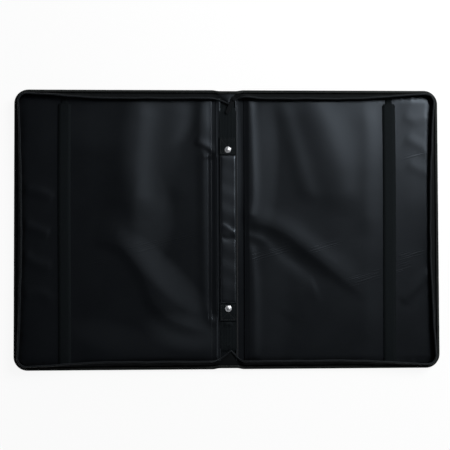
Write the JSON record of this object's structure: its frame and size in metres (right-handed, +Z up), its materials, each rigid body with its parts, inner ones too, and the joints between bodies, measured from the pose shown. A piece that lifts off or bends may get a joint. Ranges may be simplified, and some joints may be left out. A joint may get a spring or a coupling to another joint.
{
  "type": "zip-round art portfolio",
  "caption": "Zip-round art portfolio lying open, with two padded covers that close on hinges at the spine, retaining straps, a spine handle and a zip slider.",
  "frame": {"origin": "centre of the footprint, on the surface that the open portfolio lies on", "axes": "+X to the right cover's free side, +Y to the top edge, +Z up out of the open inside"},
  "size_m": [0.7, 0.46, 0.0186],
  "materials": {
    "outer_fabric": "matt black woven nylon",
    "board": "plain grey board",
    "lining": "coated charcoal lining with a soft sheen",
    "webbing": "flat black ribbed webbing",
    "binding": "black grosgrain binding",
    "zip_tape": "black herringbone zip tape",
    "zip_coil": "dark moulded coil",
    "rivet": "bright nickel plate",
    "slider": "black enamel"
  },
  "bodies": {
    "spine": {"spine_outer_panel": "outer_fabric", "spine_board": "board", "spine_webbing": "webbing", "spine_pad": "lining", "handle_patch_top": "webbing", "handle_patch_bottom": "webbing", "rivet_top": "rivet", "rivet_bottom": "rivet", "rivet_cap_top": "rivet", "rivet_cap_bottom": "rivet", "carry_handle": "webbing", "spine_binding_top": "binding", "spine_binding_bottom": "binding", "zip_end_tape_top": "zip_tape", "zip_end_tape_bottom": "zip_tape", "zip_end_coil_top": "zip_coil", "zip_end_coil_bottom": "zip_coil", "zip_slider": "slider"},
    "left_cover": {"left_outer_panel": "outer_fabric", "left_board": "board", "left_lining": "lining", "left_binding": "binding", "left_zip_tape": "zip_tape", "left_zip_coil": "zip_coil", "left_strap": "webbing"},
    "right_cover": {"right_outer_panel": "outer_fabric", "right_board": "board", "right_lining": "lining", "right_binding": "binding", "right_zip_tape": "zip_tape", "right_zip_coil": "zip_coil", "right_strap": "webbing"},
    "puller": {"zip_puller": "slider"}
  },
  "joints": [
    {"name": "left_cover_fold", "type": "hinge", "parent": "spine", "child": "left_cover", "pos_m": [-0.018, 0, 0.001], "axis": [0, 1, 0], "range_deg": [0, 90]},
    {"name": "right_cover_fold", "type": "hinge", "parent": "spine", "child": "right_cover", "pos_m": [0.018, 0, 0.001], "axis": [0, -1, 0], "range_deg": [0, 90]},
    {"name": "puller_swing", "type": "hinge", "parent": "spine", "child": "puller", "pos_m": [0.0096, 0.2136, 0.0102], "axis": [-0.8944, 0.4472, 0], "range_deg": [0, 90]}
  ]
}
